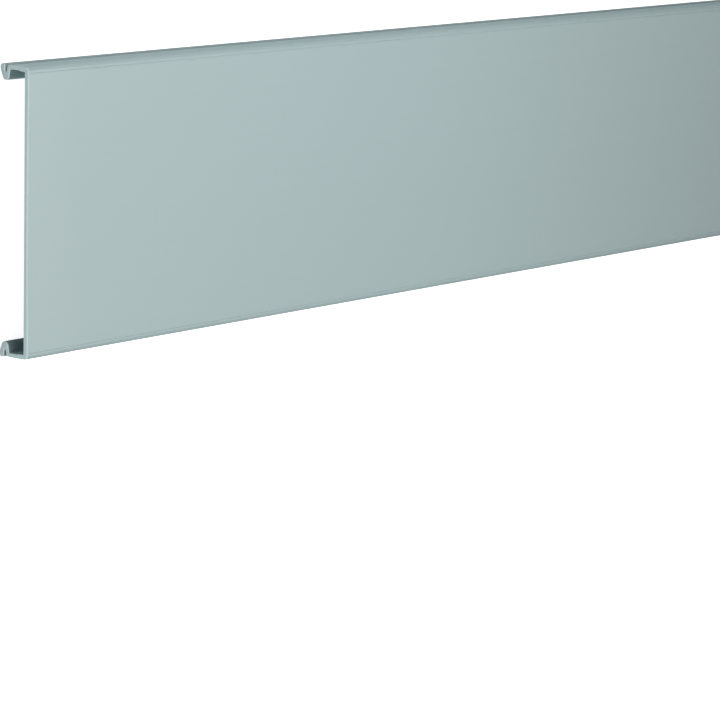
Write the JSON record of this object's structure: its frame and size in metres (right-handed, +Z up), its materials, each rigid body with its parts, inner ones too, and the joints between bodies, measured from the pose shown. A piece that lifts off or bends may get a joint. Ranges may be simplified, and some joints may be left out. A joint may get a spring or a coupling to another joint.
{
  "type": "cable trunking cover",
  "caption": "Straight clip-on cover for cable trunking: flat grey plastic web with short side returns that end in V-shaped snap beads.",
  "frame": {"origin": "middle of the length, on the floor that the two snap beads rest on, midway between them", "axes": "+X along the length, +Y across the width, +Z up out of the outer face; the cover lies face up"},
  "size_m": [2, 0.08, 0.011],
  "materials": {
    "grey_pvc": "light grey rigid PVC, extruded satin surface"
  },
  "bodies": {
    "root": {"trunking_cover": "grey_pvc"}
  },
  "joints": []
}
